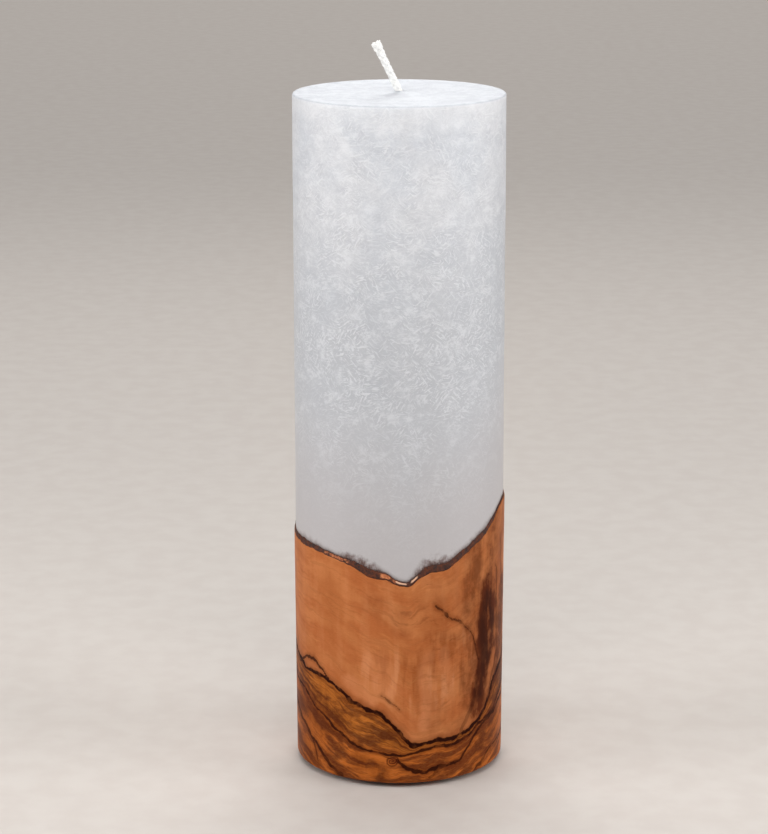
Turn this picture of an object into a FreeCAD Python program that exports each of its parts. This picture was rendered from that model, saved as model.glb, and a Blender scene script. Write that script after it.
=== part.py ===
import FreeCAD, Part

# A unity candle: a cast wax pillar on a turned olive-wood foot.
#
# The foot's top is the natural skin of the trunk, left as it grew, with its bark still on it. The wax is
# cast straight onto the bark, inside a tube mould as wide as the foot, so wood, bark and wax read as one
# straight column with a wavy dark line round it. Screws driven part way into the wood stand up into the
# wax and key it to the foot. The wick is a braid of cotton held by a tin sustainer that is cast into the
# wax a little above the wood, so that the flame goes out before it reaches the foot. A felt pad lifts the
# foot off the table.
#
# Frame: millimetres, +Z up, the origin on the table in the middle of the pad's underside, the front of the
# candle towards -Y, and the wick leaning towards -X.

import math
import os

import Sketcher

V = FreeCAD.Vector
UP = V(0, 0, 1)

# Driving dimensions, in millimetres and degrees.
SIZES = {
    "total_height": 228,  # table to the wax's flat top
    "pillar_diameter": 70,
    "rim_radius": 0.8,
    "foot_diameter": 70,  # at its foot; it spreads by foot_spread up to joint_height
    "foot_spread": 0.9,
    "joint_height": 80,
    "foot_edge_radius": 1.4,
    "blank_height": 104,  # turned blanks reach past the highest point of the natural skin
    "live_edge_height": 69.8,  # the lowest point of the natural skin on the front
    "wax_start_height": 66,
    "pad_diameter": 62,
    "pad_thickness": 1.6,
    "pad_edge": 0.3,
    "wick_diameter": 2.7,
    "wick_tip_diameter": 3.5,
    "wick_flare_length": 6.5,
    "wick_straight_length": 10,  # from the bend to where the wick starts to flare
    "wick_lean": 26,
    "wick_bend_radius": 5,
    "wick_bend_height": 227.2,
    "sustainer_height": 82,
    "sustainer_diameter": 20,
    "sustainer_thickness": 0.4,
    "neck_diameter": 4.1,
    "neck_length": 7,
    "screw_count": 3,
    "screw_circle_diameter": 40,
    "screw_first_angle": 90,
    "screw_tip_height": 52,
    "screw_length": 36,
    "screw_diameter": 4,
    "screw_point_length": 4,
    "screw_head_diameter": 8,
    "screw_head_length": 2.6,
    "thread_core_diameter": 2.8,
    "thread_pitch": 1.8,
    "thread_turns": 12,
    "recess_width": 1.1,
    "recess_length": 4.4,
    "recess_depth": 1.6,
}

# The natural skin: heights over live_edge_height, and how thick the bark is there, along a line from the
# left of the candle to its right. The front of the trunk falls to a notch just right of the middle, and
# the back to a shallower one just left of it.
FRONT_SKIN = [
    # x, height, bark
    (-42, 11.2, 1.0),
    (-35, 10.4, 1.0),
    (-29, 9.4, 1.8),
    (-24, 8.8, 1.6),
    (-19, 7.6, 1.7),
    (-14, 5.9, 2.0),
    (-9, 3.2, 2.8),
    (-4.5, 2.7, 2.2),
    (-1, 1.1, 1.4),
    (2.5, 0.0, 1.5),
    (6, 2.3, 1.9),
    (10, 4.4, 2.6),
    (15, 5.1, 2.4),
    (20, 8.6, 1.9),
    (25, 12.1, 1.7),
    (30, 16.5, 1.3),
    (35, 23.0, 1.1),
    (42, 28.1, 1.2),
]
BACK_SKIN = [
    (-42, 17.6, 1.5),
    (-30, 15.1, 1.8),
    (-18, 10.6, 1.4),
    (-9, 7.0, 2.2),
    (-2, 5.8, 1.3),
    (7, 8.2, 2.1),
    (18, 14.2, 1.6),
    (30, 20.0, 2.0),
    (42, 23.2, 1.6),
]
SKIN_ROWS = [-42, -30, -20, -10, 0, 10, 20, 30, 42]  # the places front to back where the skin is set out
FRONT_ENDS, BACK_STARTS = -8.0, 30.0  # the front line turns into the back one between these
KNOLL_HEIGHT = 0.8  # small swellings of the trunk, off the front

doc = FreeCAD.newDocument("unity_candle")


def make_sheet():
    sheet = doc.addObject("Spreadsheet::Sheet", "sizes")
    for row, (alias, number) in enumerate(SIZES.items(), start=1):
        sheet.set(f"A{row}", alias.replace("_", " "))
        sheet.set(f"B{row}", str(number))
        sheet.setAlias(f"B{row}", alias)
    doc.recompute()
    return sheet


sizes = make_sheet()


def value(expression):
    """What an expression on the sheet's cells comes to."""
    return float(sizes.evalExpression(expression))


# Helpers for PartDesign bodies.


def origin_part(body, role):
    return next(f for f in body.Origin.OriginFeatures if f.Role == role)


def sketch_on(body, role, name, lift=None):
    """A sketch on one of its body's origin planes, raised off it by the expression lift."""
    sketch = body.newObject("Sketcher::SketchObject", name)
    sketch.AttachmentSupport = (origin_part(body, role), [""])
    sketch.MapMode = "FlatFace"
    if lift:
        sketch.setExpression("AttachmentOffset.Base.z", lift)
    return sketch


def bind_point(sketch, line, end, x, y):
    """Ties the end of a line to a place given by two expressions."""
    for kind, axis, expression in (("DistanceX", -2, x), ("DistanceY", -1, y)):
        size = value(expression)
        if size == 0:
            sketch.addConstraint(Sketcher.Constraint("PointOnObject", line, end, axis))
        else:
            number = sketch.addConstraint(Sketcher.Constraint(kind, -1, 1, line, end, size))
            sketch.setExpression(f"Constraints[{number}]", expression)


def draw_outline(sketch, corners):
    """A closed outline of straight lines. Each corner is a pair of expressions."""
    places = [V(value(x), value(y), 0) for x, y in corners]
    count = len(places)
    for i in range(count):
        sketch.addGeometry(Part.LineSegment(places[i], places[(i + 1) % count]), False)
    for i in range(count):
        sketch.addConstraint(Sketcher.Constraint("Coincident", i, 2, (i + 1) % count, 1))
    for i, (x, y) in enumerate(corners):
        bind_point(sketch, i, 1, x, y)


def draw_circle(sketch, diameter):
    circle = sketch.addGeometry(Part.Circle(V(0, 0, 0), UP, value(diameter) / 2), False)
    sketch.addConstraint(Sketcher.Constraint("Coincident", circle, 3, -1, 1))
    number = sketch.addConstraint(Sketcher.Constraint("Diameter", circle, value(diameter)))
    sketch.setExpression(f"Constraints[{number}]", diameter)


def revolve(body, name, corners, feature="PartDesign::Revolution"):
    """Turns an outline about the Z axis."""
    sketch = sketch_on(body, "XZ_Plane", name + "_outline")
    draw_outline(sketch, corners)
    turned = body.newObject(feature, name)
    turned.Profile = sketch
    turned.ReferenceAxis = (sketch, ["V_Axis"])
    turned.Angle = 360
    body.Tip = turned
    doc.recompute()
    return turned


def ring_edges(feature, height, diameter):
    """The names of a feature's round edges of that diameter, at that height."""
    names = []
    for number, edge in enumerate(feature.Shape.Edges, start=1):
        curve = edge.Curve
        if isinstance(curve, Part.Circle):
            level = abs(curve.Center.z - height) < 1e-4
            if level and abs(curve.Radius - diameter / 2) < 1e-3:
                names.append(f"Edge{number}")
    return names


def dress_edge(body, kind, base, height, diameter, size_name, size):
    """A fillet or chamfer on the round edge at that height and diameter."""
    dressed = body.newObject(kind, base.Name + "_edge")
    dressed.Base = (base, ring_edges(base, value(height), value(diameter)))
    dressed.setExpression(size_name, size)
    body.Tip = dressed
    doc.recompute()
    return dressed


def new_body(name):
    return doc.addObject("PartDesign::Body", name)


def cut(name, base, tool):
    piece = doc.addObject("Part::Cut", name)
    piece.Base = base
    piece.Tool = tool
    return piece


def common(name, base, tool):
    piece = doc.addObject("Part::Common", name)
    piece.Base = base
    piece.Tool = tool
    return piece


# The natural skin of the trunk, which wood, bark and wax all follow.


def along(skin, x, column):
    """The skin's height (column 1) or bark thickness (column 2) at x, in a straight line between points."""
    for left, right in zip(skin, skin[1:]):
        if left[0] <= x <= right[0]:
            share = (x - left[0]) / (right[0] - left[0])
            return left[column] + share * (right[column] - left[column])
    raise ValueError(f"{x} is off the skin")


def skin_point(x, y, with_bark):
    share = min(1.0, max(0.0, (y - FRONT_ENDS) / (BACK_STARTS - FRONT_ENDS)))
    backness = share * share * (3 - 2 * share)
    columns = (1, 2) if with_bark else (1,)
    rise = sum(
        (1 - backness) * along(FRONT_SKIN, x, column) + backness * along(BACK_SKIN, x, column)
        for column in columns
    )
    knoll = KNOLL_HEIGHT * backness * math.sin(x / 4.1 + 0.6) * math.cos(y / 5.3)
    return V(x, y, sizes.live_edge_height + rise + knoll)


def under_skin(name, with_bark):
    """Everything under the natural skin, or under the bark that lies on it, as one block."""
    grid = [[skin_point(x, y, with_bark) for y in SKIN_ROWS] for x, _, _ in FRONT_SKIN]
    surface = Part.BSplineSurface()
    surface.interpolate(grid)
    block = doc.addObject("Part::Feature", name)
    block.Shape = surface.toShape().extrude(V(0, 0, -sizes.blank_height))
    return block


# The sub-parts.


def make_turned_blank():
    """The foot before its top is found: a slightly spreading cylinder, rounded at the bottom edge."""
    body = new_body("turned_blank")
    bottom = "sizes.pad_thickness"
    low = "sizes.foot_diameter / 2"
    high = "sizes.foot_diameter / 2 + sizes.foot_spread / 2 * sizes.blank_height / sizes.joint_height"
    top = "sizes.blank_height"
    turned = revolve(body, "blank", [("0", bottom), (low, bottom), (high, top), ("0", top)])
    dress_edge(
        body, "PartDesign::Fillet", turned, bottom, "sizes.foot_diameter", "Radius", "sizes.foot_edge_radius"
    )
    return body


def make_cast_pillar():
    """The wax as the mould leaves it, with a slightly rounded rim, before its underside is found."""
    body = new_body("cast_pillar")
    bottom = "sizes.wax_start_height"
    radius = "sizes.pillar_diameter / 2"
    top = "sizes.total_height"
    turned = revolve(body, "pillar", [("0", bottom), (radius, bottom), (radius, top), ("0", top)])
    dress_edge(
        body, "PartDesign::Fillet", turned, top, "sizes.pillar_diameter", "Radius", "sizes.rim_radius"
    )
    return body


def make_felt_pad():
    body = new_body("felt_pad")
    sketch = sketch_on(body, "XY_Plane", "pad_outline")
    draw_circle(sketch, "sizes.pad_diameter")
    pad = body.newObject("PartDesign::Pad", "pad_disc")
    pad.Profile = sketch
    pad.setExpression("Length", "sizes.pad_thickness")
    body.Tip = pad
    doc.recompute()
    top = "sizes.pad_thickness"
    across = "sizes.pad_diameter"
    dress_edge(body, "PartDesign::Chamfer", pad, top, across, "Size", "sizes.pad_edge")
    return body


def make_sustainer():
    """A pressed tin disc with a neck crimped onto the wick's lower end."""
    body = new_body("wick_sustainer")
    wick = "sizes.wick_diameter / 2"
    disc = "sizes.sustainer_diameter / 2"
    neck = "sizes.neck_diameter / 2"
    bottom = "sizes.sustainer_height"
    plate = "sizes.sustainer_height + sizes.sustainer_thickness"
    top = "sizes.sustainer_height + sizes.neck_length"
    revolve(
        body,
        "pressing",
        [(wick, bottom), (disc, bottom), (disc, plate), (neck, plate), (neck, top), (wick, top)],
    )
    return body


def make_wick_run():
    """The wick up to its flare: straight up from the sustainer, a bend at the wax's top, and a lean."""
    body = new_body("wick_run")
    spine = sketch_on(body, "XZ_Plane", "wick_line")
    bend_x = value("sizes.wick_bend_radius")
    bottom, bend_z = value("sizes.sustainer_height"), value("sizes.wick_bend_height")
    lean = math.radians(value("sizes.wick_lean"))
    bend_end = V(bend_x * (1 - math.cos(lean)), bend_z + bend_x * math.sin(lean), 0)
    run = value("sizes.wick_straight_length")
    run_end = bend_end + V(run * math.sin(lean), run * math.cos(lean), 0)
    centre = V(bend_x, bend_z, 0)
    spine.addGeometry(Part.LineSegment(V(0, bottom, 0), V(0, bend_z, 0)), False)
    spine.addGeometry(Part.ArcOfCircle(Part.Circle(centre, UP, bend_x), math.pi - lean, math.pi), False)
    spine.addGeometry(Part.LineSegment(bend_end, run_end), False)
    spine.addConstraint(Sketcher.Constraint("Tangent", 0, 2, 1, 2))
    spine.addConstraint(Sketcher.Constraint("Tangent", 1, 1, 2, 1))
    bind_point(spine, 0, 1, "0", "sizes.sustainer_height")
    bind_point(spine, 0, 2, "0", "sizes.wick_bend_height")
    for kind, line, size in (
        ("Radius", 1, "sizes.wick_bend_radius"),
        ("Distance", 2, "sizes.wick_straight_length"),
    ):
        number = spine.addConstraint(Sketcher.Constraint(kind, line, value(size)))
        spine.setExpression(f"Constraints[{number}]", size)
    number = spine.addConstraint(Sketcher.Constraint("Angle", 0, 1, 2, 1, -lean))
    spine.setExpression(f"Constraints[{number}]", "-sizes.wick_lean * 1 deg")
    section = sketch_on(body, "XY_Plane", "wick_section", lift="sizes.sustainer_height")
    draw_circle(section, "sizes.wick_diameter")
    doc.recompute()
    pipe = body.newObject("PartDesign::AdditivePipe", "wick_pipe")
    pipe.Profile = section
    pipe.Spine = (spine, ["Edge1", "Edge2", "Edge3"])
    body.Tip = pipe
    doc.recompute()
    return body


def make_wick_flare():
    """The cut end of the wick, where the braid has opened a little."""
    flare = doc.addObject("Part::Cone", "wick_flare")
    flare.setExpression("Radius1", "sizes.wick_diameter / 2")
    flare.setExpression("Radius2", "sizes.wick_tip_diameter / 2")
    flare.setExpression("Height", "sizes.wick_flare_length")
    flare.Placement = FreeCAD.Placement(V(0, 0, 0), FreeCAD.Rotation(V(0, 1, 0), 1))
    flare.setExpression("Placement.Rotation.Angle", "sizes.wick_lean * 1 deg")
    flare.setExpression(
        "Placement.Base.x",
        "sizes.wick_bend_radius * (1 - cos(sizes.wick_lean * 1 deg))"
        " + sizes.wick_straight_length * sin(sizes.wick_lean * 1 deg)",
    )
    flare.setExpression(
        "Placement.Base.z",
        "sizes.wick_bend_height + sizes.wick_bend_radius * sin(sizes.wick_lean * 1 deg)"
        " + sizes.wick_straight_length * cos(sizes.wick_lean * 1 deg)",
    )
    return flare


def make_wick():
    wick = doc.addObject("Part::Fuse", "wick")
    wick.Base = make_wick_run()
    wick.Tool = make_wick_flare()
    wick.Placement = FreeCAD.Placement(V(0, 0, 0), FreeCAD.Rotation(UP, 180))  # it leans towards -X
    doc.recompute()
    return wick


def make_screw():
    """One anchor screw, standing on the Z axis: a cross-recessed pan head over a ridged shank."""
    body = new_body("anchor_screw")
    shank = "sizes.screw_diameter / 2"
    head = "sizes.screw_head_diameter / 2"
    tip = "sizes.screw_tip_height"
    point = "sizes.screw_tip_height + sizes.screw_point_length"
    top = "sizes.screw_tip_height + sizes.screw_length"
    neck = "sizes.screw_tip_height + sizes.screw_length - sizes.screw_head_length"
    revolve(body, "screw", [("0", tip), (shank, point), (shank, neck), (head, neck), (head, top), ("0", top)])
    turned = body.Tip
    head_size = "sizes.screw_head_diameter"
    head_edge = "sizes.screw_head_length / 2"
    dress_edge(body, "PartDesign::Fillet", turned, top, head_size, "Radius", head_edge)
    core = "sizes.thread_core_diameter / 2"
    low = "sizes.screw_tip_height + sizes.screw_point_length"
    root = low + " + sizes.thread_pitch * 0.45"
    crest = low + " + sizes.thread_pitch * 0.9"
    clear = "sizes.screw_diameter / 2 + 0.2"
    groove = revolve(
        body,
        "thread_groove",
        [(shank, low), (core, root), (shank, crest), (clear, crest), (clear, low)],
        feature="PartDesign::Groove",
    )
    thread = body.newObject("PartDesign::LinearPattern", "thread")
    thread.Originals = [groove]
    thread.Direction = (origin_part(body, "Z_Axis"), [""])
    thread.setExpression("Length", "sizes.thread_pitch * (sizes.thread_turns - 1)")
    thread.setExpression("Occurrences", "sizes.thread_turns")
    body.Tip = thread
    doc.recompute()
    for turn, name in enumerate(("recess_slot_a", "recess_slot_b")):
        cut_recess(body, name, turn, top)
    return body


def cut_recess(body, name, turn, top):
    """One of the two crossed slots in the screw's head."""
    sketch = sketch_on(body, "XY_Plane", name + "_outline", lift=top)
    sizes_xy = [value("sizes.recess_length") / 2, value("sizes.recess_width") / 2]
    names_xy = ["sizes.recess_length", "sizes.recess_width"]
    if turn:
        sizes_xy.reverse()
        names_xy.reverse()
    half_x, half_y = sizes_xy
    corners = [V(-half_x, -half_y), V(half_x, -half_y), V(half_x, half_y), V(-half_x, half_y)]
    for i in range(4):
        sketch.addGeometry(Part.LineSegment(corners[i], corners[(i + 1) % 4]), False)
    for i in range(4):
        sketch.addConstraint(Sketcher.Constraint("Coincident", i, 2, (i + 1) % 4, 1))
        sketch.addConstraint(Sketcher.Constraint("Vertical" if i % 2 else "Horizontal", i))
    sketch.addConstraint(Sketcher.Constraint("Symmetric", 0, 1, 2, 1, -1, 1))
    for line, size in zip((0, 1), names_xy):
        number = sketch.addConstraint(Sketcher.Constraint("Distance", line, value(size)))
        sketch.setExpression(f"Constraints[{number}]", size)
    slot = body.newObject("PartDesign::Pocket", name)
    slot.Profile = sketch
    slot.setExpression("Length", "sizes.recess_depth")
    body.Tip = slot
    doc.recompute()


def make_anchor_screws():
    """The same screw set out on a circle, as one group of separate solids."""
    screw = make_screw()
    group = doc.addObject("Part::Feature", "anchor_screws")
    copies = []
    for i in range(int(sizes.screw_count)):
        copy = screw.Shape.copy()
        copy.translate(V(sizes.screw_circle_diameter / 2, 0, 0))
        copy.rotate(V(0, 0, 0), UP, sizes.screw_first_angle + i * 360 / sizes.screw_count)
        copies.append(copy)
    group.Shape = Part.makeCompound(copies)
    return group


def check_states():
    for item in doc.Objects:
        if "Invalid" in item.State or "Error" in item.State:
            raise RuntimeError(f"{item.Name} failed: {item.State}")


def write_nodes(nodes):
    os.makedirs("parts", exist_ok=True)
    for name, item in nodes.items():
        item.Label = name
        shape = item.Shape
        if shape.isNull() or not shape.isValid() or not shape.Solids:
            raise RuntimeError(f"{name} has no valid solid")
        shape.exportStep(f"parts/{name}.step")
        box = shape.BoundBox
        print(
            f"{name}: {len(shape.Solids)} solids, {shape.Volume / 1000:.2f} cm3,"
            f" z {box.ZMin:.1f} to {box.ZMax:.1f}, {box.XLength:.1f} by {box.YLength:.1f} mm"
        )


def main():
    blank = make_turned_blank()
    wood_block = under_skin("trunk_under_bark", with_bark=False)
    bark_block = under_skin("trunk_with_bark", with_bark=True)
    screws = make_anchor_screws()
    wick = make_wick()
    sustainer = make_sustainer()
    doc.recompute()

    trunk = common("trunk_piece", blank, wood_block)
    wood = cut("wood_foot", trunk, screws)

    barked = common("barked_piece", blank, bark_block)
    bark_sheet = cut("bark_sheet", barked, wood_block)
    bark = cut("bark_skin", bark_sheet, screws)

    wax = make_cast_pillar()
    for step, tool in enumerate((bark_block, wick, sustainer, screws)):
        wax = cut(f"wax_step_{step}", wax, tool)
    doc.recompute()

    nodes = {
        "olive_wood_base": wood,
        "bark_edge": bark,
        "wax_pillar": wax,
        "wick": wick,
        "wick_sustainer": sustainer,
        "anchor_screws": screws,
        "felt_pad": make_felt_pad(),
    }
    doc.recompute()
    check_states()
    write_nodes(nodes)


main()
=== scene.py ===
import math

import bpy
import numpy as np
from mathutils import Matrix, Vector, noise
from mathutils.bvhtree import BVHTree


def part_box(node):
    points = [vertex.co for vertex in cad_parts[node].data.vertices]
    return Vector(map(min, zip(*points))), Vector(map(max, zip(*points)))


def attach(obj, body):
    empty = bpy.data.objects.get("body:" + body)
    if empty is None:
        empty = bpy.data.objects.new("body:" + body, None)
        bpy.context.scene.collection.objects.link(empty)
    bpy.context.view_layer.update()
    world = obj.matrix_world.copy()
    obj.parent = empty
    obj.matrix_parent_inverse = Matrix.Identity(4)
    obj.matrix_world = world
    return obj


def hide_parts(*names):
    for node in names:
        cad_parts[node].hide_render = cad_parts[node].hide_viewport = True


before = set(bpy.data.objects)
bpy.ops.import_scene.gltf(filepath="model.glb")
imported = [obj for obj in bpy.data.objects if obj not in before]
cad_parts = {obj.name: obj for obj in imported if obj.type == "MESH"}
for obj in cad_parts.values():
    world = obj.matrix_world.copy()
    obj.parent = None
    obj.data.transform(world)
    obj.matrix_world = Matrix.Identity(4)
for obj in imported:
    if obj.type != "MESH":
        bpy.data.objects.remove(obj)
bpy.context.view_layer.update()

# The looks of a unity candle: a pillar of crystal wax on an olive-wood foot with a live edge.
#
# The wax, the bark, the foot, the wick and the felt are modelled again in detail, each in the place that
# its CAD node holds. The tin sustainer is its CAD node, and the screws are remade from theirs.
# Angles are in degrees round the candle, 0 at the front and positive towards +X. Lengths marked MM are
# millimetres turned into the frame's metres.

MM = 0.001

# How finely the round pieces are cut.
COLUMNS = 480
WOOD_ROWS = 150
WAX_ROWS = 160
BAND_ROWS = 8

WAX_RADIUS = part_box("wax_pillar")[1].x
WAX_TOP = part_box("wax_pillar")[1].z
WOOD_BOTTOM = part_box("olive_wood_base")[0].z
SKIN_RADIUS = WAX_RADIUS + 0.2 * MM  # where the live edge is read, just inside the foot's wall
INNER_RADII = np.array([34.6, 33.2, 31, 28, 24.5, 15.5, 11, 7, 3.5]) * MM  # these miss the screws
WOOD_EDGE = 1.4 * MM  # the radius of the foot's lower edge
WAX_RIM = 0.8 * MM  # the radius of the wax's upper edge
WAX_INSET = 0.05 * MM  # how far inside its CAD node the wax's wall is, on average
CRUMBLE = 0.4 * MM  # how far the bark's edges wander from the CAD's smooth ones
CRUMBLE_SIZE = 3.2 * MM  # and how long each such swing is
THINNEST_BARK = 0.4 * MM

ANGLES = np.arange(COLUMNS) * 360 / COLUMNS - 180


# Reading the CAD nodes.

OUTSIDE = 1.0  # metres: where the rays that feel for a node's surface start


class CadSkin:
    """Finds the outside of a CAD node."""

    def __init__(self, node):
        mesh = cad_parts[node].data
        corners = [vertex.co.copy() for vertex in mesh.vertices]
        self.tree = BVHTree.FromPolygons(corners, [tuple(p.vertices) for p in mesh.polygons])

    def top(self, x, y):
        """The height of the node's upper side, above a point."""
        return self.tree.ray_cast(Vector((x, y, OUTSIDE)), Vector((0, 0, -1)))[0].z

    def wall(self, height):
        """The distance from the axis to the node's front, at a height."""
        return -self.tree.ray_cast(Vector((0, -OUTSIDE, height)), Vector((0, 1, 0)))[0].y

    def middle_x(self, height):
        """The middle of the node from left to right, at a height."""
        left = self.tree.ray_cast(Vector((-OUTSIDE, 0, height)), Vector((1, 0, 0)))[0].x
        right = self.tree.ray_cast(Vector((OUTSIDE, 0, height)), Vector((-1, 0, 0)))[0].x
        return (left + right) / 2


def grain(x, y, z, size, octaves):
    """Fractal noise, from about -1 to 1, whose largest lumps are about size across."""
    return noise.fractal(Vector((x, y, z)) / size, 1.0, 2.0, octaves)


def bumps(places, depth, size, octaves=3):
    """How far noise pushes out the surface at each of some points."""
    return np.array([depth * grain(x, y, z, size, octaves) for x, y, z in places])


def smooth_step(low, high, value):
    share = np.clip((value - low) / (high - low), 0, 1)
    return share * share * (3 - 2 * share)


# Round pieces are stacks of rings.


def ring(radius, height):
    """A ring of points. The radius and the height may differ from column to column."""
    turn = np.radians(ANGLES)
    radius = np.broadcast_to(radius, COLUMNS)
    height = np.broadcast_to(height, COLUMNS)
    return np.column_stack((radius * np.sin(turn), -radius * np.cos(turn), height))


def shell(name, rings, low_centre, high_centre):
    """A closed mesh from rings, listed from the middle of the underside outwards, up and in to the top."""
    count = len(rings)
    points = np.vstack([*rings, [low_centre, high_centre]])
    faces = []
    for row in range(count - 1):
        for column in range(COLUMNS):
            after = (column + 1) % COLUMNS
            low, high = row * COLUMNS, (row + 1) * COLUMNS
            faces.append((low + column, low + after, high + after, high + column))
    last = (count - 1) * COLUMNS
    for column in range(COLUMNS):
        after = (column + 1) % COLUMNS
        faces.append((after, column, count * COLUMNS))
        faces.append((last + column, last + after, count * COLUMNS + 1))
    return make_piece(name, points, faces)


def make_piece(name, points, faces):
    mesh = bpy.data.meshes.new(name)
    mesh.from_pydata([tuple(p) for p in points], [], faces)
    mesh.validate()
    mesh.shade_smooth()
    piece = bpy.data.objects.new(name, mesh)
    bpy.context.scene.collection.objects.link(piece)
    return piece


def vertices_of(piece):
    return np.array([vertex.co for vertex in piece.data.vertices])


def angles_of(points):
    """Where points are round the candle, in degrees."""
    return np.degrees(np.arctan2(points[:, 0], -points[:, 1]))


def paint(piece, name, values):
    """Stores a number at each vertex, for the piece's material to read."""
    attribute = piece.data.attributes.new(name, "FLOAT", "POINT")
    attribute.data.foreach_set("value", np.asarray(values, np.float32))


def place(piece, node, material):
    """Puts the piece on the candle in a CAD node's stead."""
    piece.data.materials.append(material)
    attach(piece, "root")
    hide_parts(node)


# The live edge, shared by wood, bark and wax so that they meet without a gap.


def skin_heights(skin, radius, seed):
    places = ring(radius, seed * MM)
    tops = np.array([skin.top(x, y) for x, y, _ in places])
    return tops + bumps(places, CRUMBLE, CRUMBLE_SIZE, octaves=4)


def live_edge():
    """Heights of the wood's skin and of the bark's, at the wall and then at each inner radius."""
    wood_skin, bark_skin = CadSkin("olive_wood_base"), CadSkin("bark_edge")
    wood_rows, bark_rows = [], []
    for radius in (SKIN_RADIUS, *INNER_RADII):
        low = skin_heights(wood_skin, radius, seed=3)
        high = skin_heights(bark_skin, radius, seed=47)
        wood_rows.append(low)
        bark_rows.append(np.maximum(high, low + THINNEST_BARK))
    return wood_rows, bark_rows


def skin_rings(rows):
    """The rings of a skin inside the wall, from the wall inwards."""
    return [ring(radius, height) for radius, height in zip(INNER_RADII, rows[1:])]


def middle(rings):
    """The point that closes the innermost ring."""
    return np.array([0, 0, rings[:, 2].mean()])


# The figure of the wood. Olive wood's dark lines are old growth layers, so the long ones run all round the
# foot, roughly along the live edge. Each is a list of (angle, height in mm), which a curve rounds off.

MAIN_LINE = [
    (-180, 45), (-125, 41), (-90, 44), (-62, 37), (-45, 36), (-28, 30), (-8, 25), (0, 20), (6, 15),
    (30, 16), (52, 21), (64, 31), (90, 43), (110, 49), (145, 38),
]
SECOND_LINE = [
    (-180, 24), (-100, 33), (-62, 28), (-42, 20), (-25, 14), (0, 12), (30, 14), (60, 21), (92, 31), (130, 28),
]
LOWEST_LINE = [(-180, 4), (-90, 11), (-30, -2), (30, -2), (90, 12)]
ROUNDING = 6  # how many columns on each side a long line is rounded over
LONG_LOOKS = ((0.75, 1.0), (0.5, 0.9))  # how wide (mm) and how dark the main line and the second one are

# Lines that don't go all the way round: how wide (mm), how dark (0 to 1), and where.
SHORT_LINES = [
    (0.45, 0.85, [(-72, 38), (-55, 41), (-42, 36)]),  # the upper side of a lens
    (0.35, 0.28, [(-79, 72), (-84, 56), (-75, 41)]),
    (0.90, 0.40, [(34, 16), (46, 30), (48, 42)]),  # the right side of the pale heart
    (0.40, 0.75, [(48, 42), (40, 53), (20, 64)]),
    (0.75, 0.80, [(-82, 22), (-55, 12), (-33, 2)]),
    (0.40, 0.60, [(-60, 14), (-50, 5)]),
    (0.65, 0.90, [(-2, 10), (10, 6), (35, 8)]),
    (0.60, 0.85, [(35, 8), (50, 17), (75, 23), (110, 26)]),
    (0.45, 0.60, [(30, 8), (16, 4)]),
    (0.45, 0.75, [(46, 2), (65, 9), (98, 9)]),
    (0.50, 0.45, [(58, 26), (67, 42), (66, 72)]),
    (0.45, 0.35, [(66, 30), (76, 50), (73, 80)]),
    (0.50, 0.55, [(62, 22), (84, 31), (104, 42)]),
    (0.35, 0.55, [(-10, 33), (0, 28)]),
]
CURVE_STEPS = 5  # how many pieces a curve has between two of its points

# More such lines, drawn at random round the back and the left side.
STRAYS, STRAY_SEED = 16, 8
STRAY_START, STRAY_LENGTH = (100, 225), (20, 50)  # degrees
STRAY_HEIGHT, STRAY_JITTER = (-26, -2), 0.9  # mm, from the main line and up or down
STRAY_WIDTH, STRAY_DARKNESS = (0.35, 0.65), (0.40, 0.75)

# Knots: angle, height and radius in mm.
KNOTS = [(-4, 10, 0.9), (147, 27, 2.0), (-131, 18, 1.1)]

# Soft strokes: how strong, how wide (mm), and where they run. First, dusky heartwood.
DUSK = [
    (0.45, 18.0, [(72, 92), (62, 60), (58, 20)]),
    (0.60, 6.0, [(61, 84), (56, 66)]),
    (1.00, 11.5, [(57, 58), (56, 46)]),
    (1.00, 7.5, [(57, 66), (55, 46), (48, 26)]),
    (0.55, 9.5, [(44, 84), (43, 30)]),
    (0.30, 20.0, [(30, 74), (28, 16)]),
    (0.72, 10.5, [(77, 62), (73, 34)]),
    (0.52, 15.0, [(-84, 34), (-62, 26), (-44, 22)]),
    (0.50, 8.0, [(-72, 9), (-56, 6)]),
    (0.35, 5.0, [(-40, 24), (-32, 20)]),
    (0.28, 8.0, [(-14, 64), (4, 57)]),
    (0.28, 5.0, [(21, 52), (23, 30)]),
    (0.30, 5.0, [(37, 48), (36, 24)]),
    (0.40, 5.0, [(-6, 18), (0, 16)]),
    (0.45, 6.0, [(-66, 35), (-56, 30)]),
    (0.50, 5.0, [(-24, 9), (-10, 6)]),
    (0.45, 7.0, [(48, 10), (68, 9)]),
    (0.40, 14.0, [(-150, 50), (-112, 38)]),
    (0.50, 12.0, [(116, 40), (156, 28)]),
]
# The almost black core of its darkest patch.
CORE = [
    (0.62, 8.5, [(56, 54), (56, 48)]),
    (0.62, 5.5, [(57, 62), (56, 46), (50, 30)]),
]
# Where fine dark ripples cross the pale heart.
RIPPLES = [
    (1.0, 9.0, [(4, 60), (16, 58)]),
    (1.0, 9.0, [(26, 50), (28, 26)]),
    (0.6, 14.0, [(150, 66), (179, 64)]),
]
# Where its soft upright rays show most.
RAYS = [
    (1.0, 15.0, [(-8, 38), (12, 36), (26, 46)]),
    (0.7, 16.0, [(140, 60), (176, 58)]),
    (0.6, 14.0, [(-116, 62), (-104, 58)]),
]
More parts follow.
